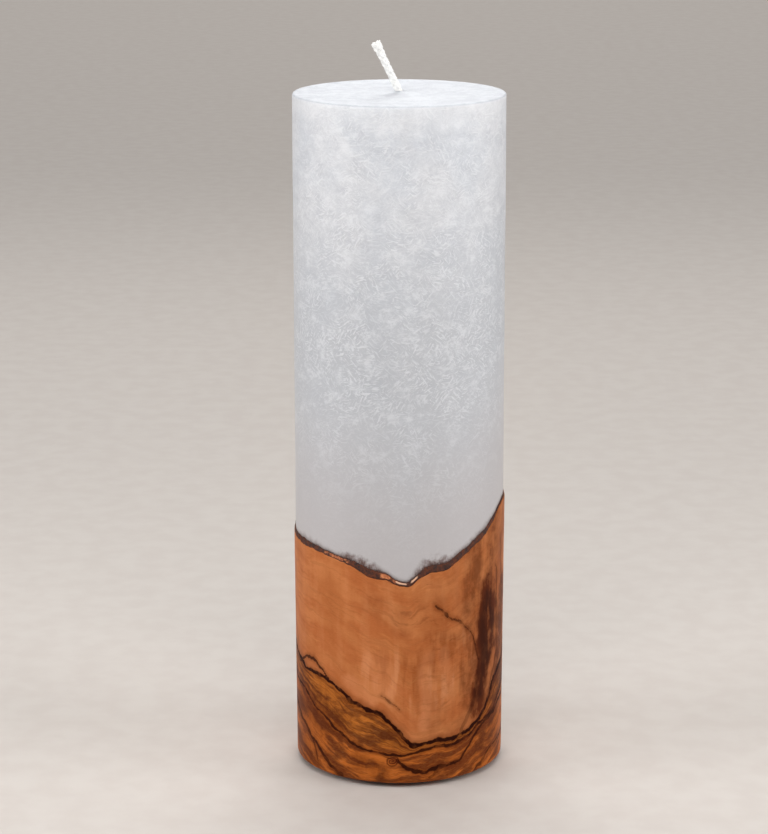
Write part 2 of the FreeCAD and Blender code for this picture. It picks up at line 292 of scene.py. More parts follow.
# Pale, pinkish sapwood.
GLOW = [
    (0.55, 7.0, [(-12, 44), (-8, 36)]),
    (0.60, 3.5, [(15, 46), (14, 22)]),
    (0.40, 3.0, [(25, 47), (27, 36)]),
    (0.55, 4.0, [(-27, 36), (-16, 31)]),
    (0.60, 6.0, [(-170, 60), (-160, 56)]),
    (0.50, 6.0, [(112, 70), (130, 66)]),
]
SOLID = 0.25  # the share of a stroke's width that has its full strength
WANDER = 1.2 * MM  # how far the figure strays from those places
WANDER_SIZE = 9 * MM  # and how long each such swing is
QUIVER, QUIVER_SIZE = 0.25, 2.2 * MM  # a finer swing on top, as a share of WANDER, and its length
THINNEST_LAYER = 0.5 * MM
LAYER_ABOVE, LAYER_BELOW = 20 * MM, 10 * MM  # layers beyond the live edge and the lowest line
FAR_FROM_LINE = 12.0  # in widths of a line: further off than any line's halo
FAR_FROM_KNOT = 9.0  # in radii of a knot


def around(line):
    """The heights of a line that goes all the way round, at every column, rounded off between its points."""
    angles, heights = np.array(sorted(line), float).T
    straight = np.interp(ANGLES, angles, heights, period=360)
    weights = np.hanning(2 * ROUNDING + 3)[1:-1]
    padded = np.concatenate((straight[-ROUNDING:], straight, straight[:ROUNDING]))
    return np.convolve(padded, weights / weights.sum(), "valid") * MM


def bend(points):
    """A smooth curve through a few points."""
    points = np.array(points, float)
    ends = np.vstack((2 * points[0] - points[1], points, 2 * points[-1] - points[-2]))
    curve = []
    for before, start, end, after in zip(ends, ends[1:], ends[2:], ends[3:]):
        for t in np.arange(CURVE_STEPS) / CURVE_STEPS:
            turn = (2 * before - 5 * start + 4 * end - after) * t**2
            twist = (3 * start - before - 3 * end + after) * t**3
            curve.append((2 * start + (end - before) * t + turn + twist) / 2)
    curve.append(points[-1])
    return curve


def stray_lines():
    """Short dark lines that drift along the growth layers where the foot has no set figure."""
    chance = np.random.default_rng(STRAY_SEED)
    main = around(MAIN_LINE) / MM
    lines = []
    for _ in range(STRAYS):
        angles = chance.uniform(*STRAY_START) + chance.uniform(*STRAY_LENGTH) * np.linspace(0, 1, 4)
        heights = np.interp(angles, ANGLES, main, period=360) + chance.uniform(*STRAY_HEIGHT)
        points = list(zip(angles, heights + chance.normal(0, STRAY_JITTER, 4)))
        lines.append((chance.uniform(*STRAY_WIDTH), chance.uniform(*STRAY_DARKNESS), points))
    return lines


def distance_to(line, arc, height):
    """The distance in metres from every vertex to a run of points, measured on the unrolled wall."""
    nearest = np.full(len(arc), np.inf)
    places = [(math.radians(angle) * WAX_RADIUS, z * MM) for angle, z in line]
    full_turn = 2 * math.pi * WAX_RADIUS
    for (arc_a, z_a), (arc_b, z_b) in zip(places, places[1:]):
        run = np.array([arc_b - arc_a, z_b - z_a])
        across = (arc - arc_a + full_turn / 2) % full_turn - full_turn / 2
        share = np.clip((across * run[0] + (height - z_a) * run[1]) / (run @ run), 0, 1)
        gap = np.hypot(across - share * run[0], height - z_a - share * run[1])
        nearest = np.minimum(nearest, gap)
    return nearest


def blobs(strokes, arc, height):
    """How strongly each vertex is inside soft, round-ended strokes."""
    total = np.zeros(len(arc))
    for strength, width, line in strokes:
        gap = distance_to(line, arc, height)
        total = np.maximum(total, strength * (1 - smooth_step(SOLID * width * MM, width * MM, gap)))
    return total


def long_lines_at(guides, turned, depth):
    """The height of each long line at every vertex. Towards the axis a line flattens to its mean height, so
    that the underside and the top carry it too."""
    lines = []
    for guide in guides:
        here = np.interp(turned, ANGLES, guide, period=360)
        lines.append(guide.mean() + (here - guide.mean()) * depth)
    return lines


def growth_layers(lines, height):
    """0 at the live edge, 1 on the main line, 2 on the second, 3 on the lowest, and smooth in between."""
    flow = np.zeros(len(height))
    for layer, (upper, lower) in enumerate(zip(lines, lines[1:])):
        share = (upper - height) / np.maximum(upper - lower, THINNEST_LAYER)
        flow = np.where(share >= 0, layer + np.clip(share, 0, 1), flow)
    flow = np.where(height > lines[0], (lines[0] - height) / LAYER_ABOVE, flow)
    return np.where(height < lines[-1], 3 + (lines[-1] - height) / LAYER_BELOW, flow)


def nearest_line(marks):
    """The distance to the nearest dark line, in its widths, and how dark that line is."""
    nearest = np.full(len(marks[0][2]), FAR_FROM_LINE)
    darkness = np.zeros(len(nearest))
    for width, strength, gap in marks:
        closer = gap / (width * MM) < nearest
        nearest = np.where(closer, gap / (width * MM), nearest)
        darkness = np.where(closer, strength, darkness)
    return nearest, darkness


def nearest_knot(arc, height):
    """The distance to the nearest knot, in its radii."""
    nearest = np.full(len(arc), FAR_FROM_KNOT)
    for angle, middle_height, radius in KNOTS:
        dot = [(angle, middle_height), (angle + 0.1, middle_height)]
        nearest = np.minimum(nearest, distance_to(dot, arc, height) / (radius * MM))
    return nearest


def paint_figure(wood, top_row):
    """Stores the wood's growth layers, dark lines, knots and soft patches on its vertices."""
    points = vertices_of(wood)
    swing = bumps(points, 1, WANDER_SIZE, octaves=4)
    lift = bumps(points + (0, 0, 1), 1, WANDER_SIZE, octaves=4)
    quiver = bumps(points + (0, 0, 2), 1, QUIVER_SIZE, octaves=2)
    angle = angles_of(points)
    arc = np.radians(angle) * WAX_RADIUS + WANDER * swing
    height = points[:, 2] + WANDER * (lift + QUIVER * quiver)
    depth = np.clip(np.hypot(points[:, 0], points[:, 1]) / WAX_RADIUS, 0, 1) ** 2

    guides = [top_row, around(MAIN_LINE), around(SECOND_LINE), around(LOWEST_LINE)]
    turned = angle + np.degrees(WANDER * swing / WAX_RADIUS)
    lines = long_lines_at(guides, turned, depth)
    marks = [
        (width, strength, distance_to(bend(line), arc, height))
        for width, strength, line in SHORT_LINES + stray_lines()
    ]
    for (width, strength), guide, line in zip(LONG_LOOKS, guides[1:], lines[1:]):
        slope = np.gradient(guide) / (2 * math.pi * WAX_RADIUS / COLUMNS)
        steep = np.interp(turned, ANGLES, slope, period=360)
        marks.append((width, strength, np.abs(height - line) / np.hypot(1, steep)))
    nearest, darkness = nearest_line(marks)

    paint(wood, "flow", growth_layers(lines, height))
    paint(wood, "vein", nearest)
    paint(wood, "vein_dark", darkness)
    paint(wood, "knot", nearest_knot(arc, height))
    patches = {"dusk": DUSK, "core": CORE, "glow": GLOW, "ripple": RIPPLES, "rays": RAYS}
    for name, strokes in patches.items():
        paint(wood, name, blobs(strokes, arc, height))


# Materials are node trees. Most helpers add one node and hand back its output.


def srgb(red, green, blue):
    """A colour as seen on a screen, 0 to 255, turned into the linear one that shaders use."""
    shares = [part / 255 for part in (red, green, blue)]
    linear = [s / 12.92 if s <= 0.04045 else ((s + 0.055) / 1.055) ** 2.4 for s in shares]
    return (*linear, 1)


class Nodes:
    """One material's node tree, with a Principled shader."""

    def __init__(self, name, **constants):
        self.material = bpy.data.materials.new(name)
        self.material.use_nodes = True
        self.tree = self.material.node_tree
        self.shader = self.tree.nodes["Principled BSDF"]
        for socket, value in constants.items():
            self.shader.inputs[socket.replace("_", " ")].default_value = value

    def add(self, kind, settings=None, **inputs):
        node = self.tree.nodes.new("ShaderNode" + kind)
        for name, value in (settings or {}).items():
            setattr(node, name, value)
        for name, value in inputs.items():
            self.feed(node.inputs[name.replace("_", " ")], value)
        return node

    def feed(self, socket, value):
        if isinstance(value, bpy.types.NodeSocket):
            self.tree.links.new(value, socket)
        else:
            socket.default_value = value

    def place_mm(self):
        """The point being shaded, in millimetres in the candle's frame."""
        metres = self.add("TexCoord").outputs["Object"]
        return self.stretch(metres, (1 / MM, 1 / MM, 1 / MM))

    def stretch(self, vector, factors):
        node = self.add("VectorMath", {"operation": "MULTIPLY"})
        self.feed(node.inputs[0], vector)
        self.feed(node.inputs[1], factors)
        return node.outputs["Vector"]

    def shift(self, vector, offset):
        node = self.add("VectorMath", {"operation": "ADD"})
        self.feed(node.inputs[0], vector)
        self.feed(node.inputs[1], offset)
        return node.outputs["Vector"]

    def painted(self, name):
        return self.add("Attribute", {"attribute_name": name}).outputs["Fac"]

    def noise(self, vector, scale, detail=2, roughness=0.5):
        node = self.add("TexNoise", Vector=vector, Scale=scale, Detail=detail, Roughness=roughness)
        return node.outputs["Fac"]

    def maths(self, operation, a, b=0.0, clamp=False):
        node = self.add("Math", {"operation": operation, "use_clamp": clamp})
        self.feed(node.inputs[0], a)
        self.feed(node.inputs[1], b)
        return node.outputs[0]

    def times(self, a, b, clamp=False):
        return self.maths("MULTIPLY", a, b, clamp)

    def ramp(self, value, low, high, out_low=0.0, out_high=1.0, smooth=True):
        kind = "SMOOTHSTEP" if smooth else "LINEAR"
        node = self.add("MapRange", {"interpolation_type": kind}, Value=value)
        for number, limit in enumerate((low, high, out_low, out_high), start=1):
            self.feed(node.inputs[number], limit)
        return node.outputs[0]

    def mix(self, share, a, b):
        node = self.add("Mix", {"data_type": "RGBA", "blend_type": "MIX", "clamp_factor": True})
        self.feed(node.inputs[0], share)
        self.feed(node.inputs[6], a)
        self.feed(node.inputs[7], b)
        return node.outputs[2]

    def combine(self, x, y, z):
        return self.add("CombineXYZ", X=x, Y=y, Z=z).outputs[0]

    def split(self, vector):
        node = self.add("SeparateXYZ", Vector=vector)
        return node.outputs[0], node.outputs[1], node.outputs[2]

    def bump(self, height, depth, strength):
        return self.add("Bump", Height=height, Distance=depth, Strength=strength).outputs[0]

    def set(self, **sockets):
        """Feeds the shader's sockets and hands back the finished material."""
        for name, value in sockets.items():
            self.feed(self.shader.inputs[name.replace("_", " ")], value)
        return self.material


def along_layers(n, here, across, through, detail, roughness):
    """Noise drawn out along the wood's growth layers."""
    x, y, _ = n.split(here)
    place_in_layers = n.combine(n.times(x, across), n.times(y, across), n.times(n.painted("flow"), through))
    return n.noise(place_in_layers, 1.0, detail, roughness)


def wood_bands(n, here, flow):
    """The wood's own colours: a pale heart above the main line, and banded golden wood below it."""
    wide = along_layers(n, here, 0.06, 3.0, 3, 0.5)
    bands = along_layers(n, here, 0.06, 7.0, 4, 0.6)
    blotch = n.noise(n.stretch(here, (0.12, 0.12, 0.20)), 1.0, 4, 0.6)
    heart = n.mix(n.ramp(bands, 0.38, 0.62), srgb(180, 101, 55), srgb(196, 120, 71))
    heart = n.mix(n.ramp(wide, 0.45, 0.7, 0, 0.5), heart, srgb(164, 88, 42))
    golden = n.mix(n.ramp(bands, 0.40, 0.60), srgb(98, 46, 12), srgb(190, 108, 38))
    low = n.mix(n.ramp(bands, 0.40, 0.60), srgb(108, 48, 14), srgb(188, 100, 36))
    colour = n.mix(n.ramp(flow, 0.97, 1.05), heart, golden)
    colour = n.mix(n.ramp(flow, 1.6, 2.1), colour, low)
    smudge = n.times(n.ramp(blotch, 0.50, 0.66, 0, 0.75), n.ramp(flow, 0.98, 1.1))
    return n.mix(smudge, colour, srgb(92, 40, 12))


def wood_rays(n, here, flow, colour):
    """Soft upright rays, pale and dark, in the pale heart, and the pale glow of sapwood over them."""
    rays = n.noise(n.stretch(here, (0.20, 0.20, 0.035)), 1.0, 3, 0.6)
    cloud = n.noise(here, 0.06, 3)
    ray_place = n.times(n.ramp(flow, 1.1, 0.7), n.ramp(n.painted("rays"), 0, 0.8, 0.22, 1.0))
    colour = n.mix(n.times(n.ramp(rays, 0.48, 0.64, 0, 0.75), ray_place), colour, srgb(210, 138, 92))
    colour = n.mix(n.times(n.ramp(rays, 0.48, 0.34, 0, 0.75), ray_place), colour, srgb(154, 82, 40))
    glow = n.times(n.painted("glow"), n.ramp(cloud, 0.3, 0.6, 0.4, 0.8))
    return n.mix(glow, colour, srgb(216, 140, 94))


def growth_lines(n, here, flow, colour):
    """Faint long lines in the pale heart, finer dark ones below it and where it ripples, and pale ones."""
    lines = along_layers(n, here, 0.16, 24.0, 3, 0.6)
    long_lines = along_layers(n, here, 0.06, 44.0, 3, 0.55)
    below = n.ramp(flow, 0.96, 1.04)
    long_share = n.times(n.ramp(long_lines, 0.46, 0.38, 0, 0.16), n.maths("SUBTRACT", 1.0, below))
    colour = n.mix(long_share, colour, srgb(120, 58, 24))
    fine_place = n.maths("MAXIMUM", n.times(below, 0.5), n.times(n.painted("ripple"), 0.32))
    colour = n.mix(n.times(n.ramp(lines, 0.46, 0.34), fine_place), colour, srgb(88, 36, 10))
    return n.mix(n.ramp(lines, 0.60, 0.74, 0, 0.16), colour, srgb(232, 158, 92))


def dusky_heartwood(n, here, mottle, colour):
    """Dusky streaks with an almost black core."""
    streaks = n.noise(n.stretch(here, (0.35, 0.35, 0.08)), 1.0, 4, 0.6)
    patchy = n.times(n.ramp(streaks, 0.3, 0.6, 0.75, 1.1), n.ramp(mottle, 0.32, 0.62, 0.7, 1.1))
    dusk = n.times(n.painted("dusk"), patchy)
    colour = n.mix(n.ramp(dusk, 0.02, 1.0, 0, 0.94), colour, srgb(76, 27, 6))
    core = n.times(n.painted("core"), n.ramp(streaks, 0.32, 0.60, 0.45, 1.25), clamp=True)
    return n.mix(n.ramp(core, 0.1, 1.15), colour, srgb(40, 13, 6))


def dark_lines(n, here, colour):
    """The dark lines, a little ragged, each with a reddish halo. Hands back the ink's share as well."""
    ragged = n.noise(here, 0.5, 3, 0.55)
    gap = n.maths("ADD", n.painted("vein"), n.ramp(ragged, 0.25, 0.75, -0.4, 0.4, smooth=False))
    dark = n.painted("vein_dark")
    colour = n.mix(n.times(n.ramp(gap, 4.2, 0.6, 0, 0.5), dark), colour, srgb(100, 42, 12))
    breaks = n.ramp(n.noise(here, 0.33, 2), 0.3, 0.5, 0.6, 1.0)
    ink = n.times(n.times(n.ramp(gap, 1.15, 0.65), dark), breaks)
    return n.mix(ink, colour, srgb(40, 12, 4)), ink


def wood_knots(n, mottle, colour):
    """Knots: a dark eye in two rings."""
    knot = n.maths("ADD", n.painted("knot"), n.ramp(mottle, 0.3, 0.7, -0.35, 0.35, smooth=False))
    eye = n.ramp(knot, 0.5, 0.25)
    inner = n.times(n.ramp(knot, 0.75, 0.95), n.ramp(knot, 1.35, 1.1))
    outer = n.times(n.ramp(knot, 1.5, 1.8), n.ramp(knot, 2.4, 1.9))
    rings = n.maths("MAXIMUM", n.maths("MAXIMUM", eye, inner), outer)
    colour = n.mix(n.ramp(knot, 2.6, 0.6, 0, 0.5), colour, srgb(120, 52, 18))
    return n.mix(n.times(rings, 0.7), colour, srgb(52, 18, 8))


def wood_material():
    n = Nodes("olive_wood", Specular_IOR_Level=0.04, IOR=1.45)
    here = n.place_mm()
    flow = n.painted("flow")
    fibre = n.noise(n.stretch(here, (0.9, 0.9, 6.0)), 1.0, 3, 0.6)
    mottle = n.noise(here, 0.22, 4, 0.65)
    pores = n.noise(n.stretch(here, (1.1, 1.1, 4.0)), 1.0, 2, 0.7)

    colour = wood_bands(n, here, flow)
    colour = wood_rays(n, here, flow, colour)
    colour = growth_lines(n, here, flow, colour)
    colour = n.mix(n.ramp(fibre, 0.3, 0.7, 0, 0.10), colour, srgb(236, 164, 104))
    colour = dusky_heartwood(n, here, mottle, colour)
    colour, ink = dark_lines(n, here, colour)
    colour = wood_knots(n, mottle, colour)
    colour = n.mix(n.ramp(pores, 0.36, 0.27, 0, 0.22), colour, srgb(80, 34, 12))

    relief = n.maths("ADD", n.times(fibre, 0.5), n.times(ink, -0.8))
    rough = n.maths("ADD", n.ramp(fibre, 0.3, 0.7, 0.36, 0.48), n.times(ink, 0.12))
    return n.set(Base_Color=colour, Roughness=rough, Normal=n.bump(relief, 0.03 * MM, 0.7))


def bark_material():
    n = Nodes("bark", IOR=1.45)
    here = n.place_mm()
    crumb = n.noise(here, 0.9, 5, 0.7)
    worn = n.ramp(n.noise(here, 0.5, 3), 0.35, 0.6, 0.1, 1.0)
    bare = n.times(n.painted("bare"), worn, clamp=True)
    share = n.painted("share")
    inside = n.times(n.ramp(share, 0.12, 0.3), n.ramp(share, 0.92, 0.72))
    dark = n.mix(n.ramp(crumb, 0.35, 0.65), srgb(34, 12, 6), srgb(98, 46, 20))
    tan = n.mix(n.ramp(crumb, 0.35, 0.65), srgb(140, 66, 32), srgb(214, 134, 84))
    colour = n.mix(n.times(n.ramp(bare, 0.15, 0.75), inside), dark, tan)
    # Painted highlight: pale patches on the band's upper slope, where it catches the light.
    ledge_highlight = n.times(n.painted("ledge_highlight"), n.ramp(share, 0.35, 0.5))
    colour = n.mix(n.ramp(n.times(ledge_highlight, inside), 0.2, 0.8, 0, 0.8), colour, srgb(240, 190, 156))
    rough = n.ramp(crumb, 0.3, 0.7, 0.55, 0.8)
    return n.set(Base_Color=colour, Roughness=rough, Normal=n.bump(crumb, 0.25 * MM, 0.8))


def wax_frost(n, here, surface, calm):
    """Crystals: sheaves of needles that lie in the surface, each cell's turned its own way."""
    cluster = n.ramp(n.noise(here, 0.085, 3, 0.6), 0.38, 0.60, 0.45, 1.0)
    strokes = []
    for cell, length, thickness, offset in ((5.0, 0.30, 1.3, 0.0), (2.8, 0.50, 2.0, 31.0)):
        cells = n.add("TexVoronoi", Vector=n.shift(surface, (offset, 0, 0)), Scale=1 / cell, Randomness=1.0)
        turn = n.ramp(n.split(cells.outputs["Color"])[0], 0, 1, -1.2, 1.2, smooth=False)
        turned = n.add("VectorRotate", {"rotation_type": "Z_AXIS"}, Vector=surface, Angle=turn)
        needles = n.noise(n.stretch(turned.outputs[0], (length, thickness, 1)), 1.0, 1, 0.4)
        strokes.append(n.ramp(needles, 0.52, 0.70))
    return n.times(n.maths("MAXIMUM", *strokes), n.times(cluster, calm), clamp=True)


def wax_colour(n, here, surface, calm, frost):
    """Cool white, greyer towards the foot, with cloudy patches and frost, a painted highlight that whitens
    the wall under the rim, and a top painted slightly darker as shade against the stronger light it gets.
    """
    z = n.split(here)[2]
    above = n.painted("above")
    cloud = n.noise(here, 0.05, 3)
    patches = n.noise(n.stretch(surface, (0.13, 0.17, 1)), 1.0, 5, 0.85)
    body = n.mix(n.ramp(cloud, 0.35, 0.65), srgb(214, 217, 222), srgb(222, 223, 226))
    body = n.mix(n.times(n.ramp(patches, 0.52, 0.36, 0, 0.40), calm), body, srgb(192, 194, 200))
    body = n.mix(n.ramp(above, 140.0, 60.0, 0, 0.8), body, srgb(188, 190, 194))
    body = n.mix(n.ramp(above, 60.0, 0.0, 0, 0.8), body, srgb(192, 186, 185))
    # Painted highlight: the wall whitens over its top 11 mm, a glow that softens its edge to the top.
    body = n.mix(n.ramp(z, WAX_TOP / MM - 11, WAX_TOP / MM, 0, 0.30), body, srgb(253, 254, 255))
    pale = n.times(n.ramp(patches, 0.50, 0.64, 0, 0.36), calm)
    colour = n.mix(n.maths("MAXIMUM", n.times(frost, 0.42), pale), body, srgb(250, 251, 253))
    # Painted shade: the top face is a greyer white than the wall, against the stronger light that falls on
    # it.
    top = n.ramp(z, WAX_TOP / MM - 0.7, WAX_TOP / MM - 0.15)
    top_patches = n.ramp(n.noise(here, 0.16, 5, 0.75), 0.4, 0.6)
    return n.mix(top, colour, n.mix(top_patches, srgb(192, 194, 199), srgb(206, 208, 212)))


def bark_stain(n, here, colour):
    """Bark shows through the first few millimetres of wax as a fuzzy brown stain of fine hairs."""
    above = n.painted("above")
    fuzz = n.noise(here, 0.45, 3, 0.55)
    hairs = n.noise(n.stretch(here, (2.2, 2.2, 0.9)), 1.0, 2, 0.5)
    reach = n.times(n.painted("stain"), n.ramp(fuzz, 0.3, 0.7, 0.2, 2.6))
    stain = n.ramp(n.maths("SUBTRACT", above, reach), 2.0, -2.0, 0, 0.94)
    stain = n.times(stain, n.ramp(hairs, 0.3, 0.6, 0.72, 1.0))
    near = n.ramp(above, 0.6, 0.0, 0, 0.45)
    return n.mix(n.maths("MAXIMUM", stain, near), colour, srgb(82, 42, 26))


def wax_material():
    n = Nodes(
        "crystal_wax",
        IOR=1.44,
        Specular_IOR_Level=0.35,
        Subsurface_Weight=0.4,
        Subsurface_Scale=1.2 * MM,
        Coat_Weight=0.04,
        Coat_Roughness=0.35,
    )
    n.shader.inputs["Subsurface Radius"].default_value = (1.0, 1.0, 1.0)
    here = n.place_mm()

    # The wax's surface rolled out flat: round the wall, and on over the rim.
    x, y, z = n.split(here)
    radius = n.maths("SQRT", n.maths("ADD", n.times(x, x), n.times(y, y)))
    round_wall = n.times(n.maths("ARCTAN2", x, n.times(y, -1)), WAX_RADIUS / MM)
    surface = n.combine(round_wall, n.maths("SUBTRACT", z, radius), 0.0)

    calm = n.ramp(n.painted("above"), 3.0, 70.0, 0.10, 1.0)  # patches and frost fade out towards the bark
    frost = wax_frost(n, here, surface, calm)
    colour = bark_stain(n, here, wax_colour(n, here, surface, calm, frost))
    relief = n.maths("ADD", frost, n.times(n.noise(here, 0.8, 3), 0.35))
    rough = n.ramp(frost, 0, 1, 0.40, 0.56, smooth=False)
    return n.set(Base_Color=colour, Roughness=rough, Normal=n.bump(relief, 0.12 * MM, 0.6))


def cotton_material():
    n = Nodes("wick_cotton", IOR=1.4, Sheen_Weight=0.3, Sheen_Roughness=0.5)
    here = n.place_mm()
    thread = n.noise(n.stretch(here, (6, 6, 2)), 1.2, 3, 0.6)
    colour = n.mix(n.ramp(thread, 0.3, 0.65), srgb(244, 241, 234), srgb(254, 253, 250))
    rough = n.ramp(thread, 0.3, 0.7, 0.7, 0.9)
    return n.set(Base_Color=colour, Roughness=rough, Normal=n.bump(thread, 0.05 * MM, 0.5))


def metal_material(name, bright, dull):
    """Thin bright plating, a little cloudy and scratched."""
    n = Nodes(name, Metallic=1.0, IOR=1.5)
    here = n.place_mm()
    cloud = n.noise(here, 0.5, 3)
    scratch = n.noise(n.stretch(here, (9, 1.5, 9)), 1.0, 3)
    colour = n.mix(n.ramp(cloud, 0.35, 0.65), bright, dull)
    rough = n.ramp(scratch, 0.3, 0.7, 0.28, 0.46)
    return n.set(Base_Color=colour, Roughness=rough, Normal=n.bump(scratch, 0.01 * MM, 0.5))


def felt_material():
    n = Nodes("felt", IOR=1.4, Sheen_Weight=0.5, Sheen_Roughness=0.6)
    here = n.place_mm()
    fuzz = n.noise(here, 2.2, 5, 0.75)
    strands = n.noise(n.stretch(here, (0.8, 4.5, 2.0)), 1.0, 3, 0.6)
    colour = n.mix(n.ramp(fuzz, 0.3, 0.7), srgb(12, 10, 9), srgb(36, 30, 27))
    colour = n.mix(n.ramp(strands, 0.55, 0.7, 0, 0.3), colour, srgb(58, 50, 44))
    return n.set(Base_Color=colour, Roughness=0.95, Normal=n.bump(fuzz, 0.2 * MM, 0.8))


# The pieces.

WOOD_EDGE_STEPS, WAX_RIM_STEPS, FELT_EDGE_STEPS = 8, 7, 9
WALL_HEIGHTS = (10 * MM, 55 * MM)  # above the foot's underside: where the slope of its wall is read
WAVE, WAVE_SIZE = 0.05 * MM, 14 * MM  # how far the turned wall is from true, and how long each wave is
CREST, CREST_HEIGHT = 0.12 * MM, 0.5 * MM  # how far the wall turns in under the bark, and over what height


def make_wood(wood_rows):
    skin = CadSkin("olive_wood_base")
    low, high = (WOOD_BOTTOM + height for height in WALL_HEIGHTS)
    skin_low = skin.wall(low)
    slope = (skin.wall(high) - skin_low) / (high - low)

    def wall(height):
        return skin_low + slope * (height - low)

    foot = wall(WOOD_BOTTOM)
    rings = [ring(share * (foot - WOOD_EDGE), WOOD_BOTTOM) for share in (0.1, 0.3, 0.5, 0.7, 0.88, 1.0)]
    for turn in np.linspace(0, math.pi / 2, WOOD_EDGE_STEPS)[1:]:
        out = WOOD_EDGE * (1 - math.sin(turn))
        rings.append(ring(foot - out, WOOD_BOTTOM + WOOD_EDGE * (1 - math.cos(turn))))
    start = WOOD_BOTTOM + WOOD_EDGE
    for share in np.linspace(0, 1, WOOD_ROWS)[1:]:
        heights = start + share * (wood_rows[0] - start)
        radii = wall(heights) + bumps(ring(WAX_RADIUS, heights), WAVE, WAVE_SIZE)
        crest = smooth_step(CREST_HEIGHT, 0, wood_rows[0] - heights)
        rings.append(ring(radii - CREST * crest, heights))
    rings += skin_rings(wood_rows)
    wood = shell("olive_wood_foot", rings, (0, 0, WOOD_BOTTOM), middle(rings[-1]))
    paint_figure(wood, wood_rows[0])
    return wood


# Places on the bark band, as (angle, half width in degrees, strength): where it is worn to the tan
# cambium, and where a pale highlight is painted on its upper slope, where that catches the light.
BARE = [(-36, 9, 1.0), (-6, 5, 0.8), (95, 8, 0.8), (150, 10, 0.9), (-120, 9, 0.8), (-165, 6, 0.7)]
LEDGE_HIGHLIGHTS = [(1, 3, 1.0), (8, 2, 0.8), (128, 4, 0.8), (-140, 3, 0.7)]
# Where the bark's stain reaches up into the wax.
STAINS = [(-22, 12, 1.0), (20, 13, 1.0), (50, 14, 0.4), (-60, 14, 0.35), (110, 25, 0.8), (-125, 30, 0.8)]
FULL, GONE = 0.6, 1.3  # in half widths: how far such a place is at full strength, and where it ends

# The bark stands proud of the wax at the wood, and slopes back to it.
BARK_PROUD, BARK_SLOPE = 0.36 * MM, 0.34 * MM
CRUMB, CRUMB_SIZE = 0.16 * MM, 1.8 * MM  # the bark's crumbs
CRUMB_LIMIT = 0.08 * MM  # which stand out no further than this


def strength_at(places, angle):
    """How strongly each vertex is at one of some places."""
    total = np.zeros(len(angle))
    for centre, half, strength in places:
        away = np.abs((angle - centre + 180) % 360 - 180)
        total = np.maximum(total, strength * (1 - smooth_step(FULL * half, GONE * half, away)))
    return total


def make_bark(wood_rows, bark_rows):
    low, high = wood_rows[0], bark_rows[0]
    under, over = skin_rings(wood_rows), skin_rings(bark_rows)
    rings = list(reversed(under))
    shares = [0.0] * len(rings)
    for share in np.linspace(0, 1, BAND_ROWS):
        heights = low + share * (high - low)
        radius = WAX_RADIUS + BARK_PROUD - BARK_SLOPE * share**1.5
        crumb = bumps(ring(WAX_RADIUS, heights), CRUMB, CRUMB_SIZE)
        rings.append(ring(radius + np.minimum(crumb, CRUMB_LIMIT), heights))
        shares.append(share)
    rings += over
    shares += [1.0] * len(over)
    bark = shell("bark_skin", rings, middle(rings[0]), middle(rings[-1]))
    angle = angles_of(vertices_of(bark))
    paint(bark, "share", np.append(np.repeat(shares, COLUMNS), (0, 1)))
    paint(bark, "bare", strength_at(BARE, angle))
    paint(bark, "ledge_highlight", strength_at(LEDGE_HIGHLIGHTS, angle))
    return bark


SWELL, SWELL_SIZE = 0.07 * MM, 22 * MM  # the cast wall's slow swell
DENT, DENT_SIZE = 0.025 * MM, 2.6 * MM  # and its small dents,
DENTS_START, DENTS_FULL = 2 * MM, 30 * MM  # which come in between these heights above the bark
TOP_RADII = (33.4, 32, 30, 27.5, 25, 22, 19, 16, 13, 10, 7.5, 5.5, 4.2, 3.2, 2.5, 2.0, 1.7)  # mm
DISH, DISH_RADIUS = 0.22 * MM, 34  # the top sinks a little as it sets, between the rim and the wick
COLLAR, COLLAR_RADIUS, COLLAR_WIDTH = 0.75 * MM, 1.6, 1.3  # and climbs the wick
TOP_WAVE, TOP_WAVE_SIZE = 0.09 * MM, 8 * MM
TOP_WAVE_PLACE = 5  # metres up in the noise, away from what the wall uses
HOLE = ((1.5, 0.1), (1.42, 0.8), (1.4, 3.5))  # round the wick: radius and depth in mm


def make_wax(bark_rows):
    low = bark_rows[0]
    rings = list(reversed(skin_rings(bark_rows)))
    above = [0.0] * len(rings)  # each ring's height above the bark
    rim_start = WAX_TOP - WAX_RIM
    for share in np.linspace(0, 1, WAX_ROWS):
        heights = low + share * (rim_start - low)
        places = ring(WAX_RADIUS, heights)
        swell = bumps(places, SWELL, SWELL_SIZE, octaves=2)
        dents = bumps(places, DENT, DENT_SIZE) * smooth_step(DENTS_START, DENTS_FULL, heights - low)
        rings.append(ring(WAX_RADIUS - WAX_INSET + swell + dents, heights))
        above.append(heights - low)
    for turn in np.linspace(0, math.pi / 2, WAX_RIM_STEPS)[1:]:
        radius = WAX_RADIUS - WAX_INSET - WAX_RIM * (1 - math.cos(turn))
        rings.append(ring(radius, rim_start + WAX_RIM * math.sin(turn)))
    for radius in TOP_RADII:
        dish = DISH * math.sin(math.pi * min(1, radius / DISH_RADIUS))
        collar = COLLAR * math.exp(-((radius - COLLAR_RADIUS) / COLLAR_WIDTH))
        waves = bumps(ring(radius * MM, TOP_WAVE_PLACE), TOP_WAVE, TOP_WAVE_SIZE)
        rings.append(ring(radius * MM, WAX_TOP - dish + collar + waves))
    rings += [ring(radius * MM, WAX_TOP - depth * MM) for radius, depth in HOLE]
    above += [WAX_TOP] * (len(rings) - len(above))  # the top is far above it everywhere
    wax = shell("wax_pillar_cast", rings, middle(rings[0]), middle(rings[-1]))
    heights_above = np.concatenate([np.broadcast_to(row, COLUMNS) for row in above])
    paint(wax, "above", np.append(heights_above, (0, WAX_TOP)) / MM)
    paint(wax, "stain", strength_at(STAINS, angles_of(vertices_of(wax))))
    return wax


# The wick is a round braid: half its strands climb one way and half the other, over and under in turn.

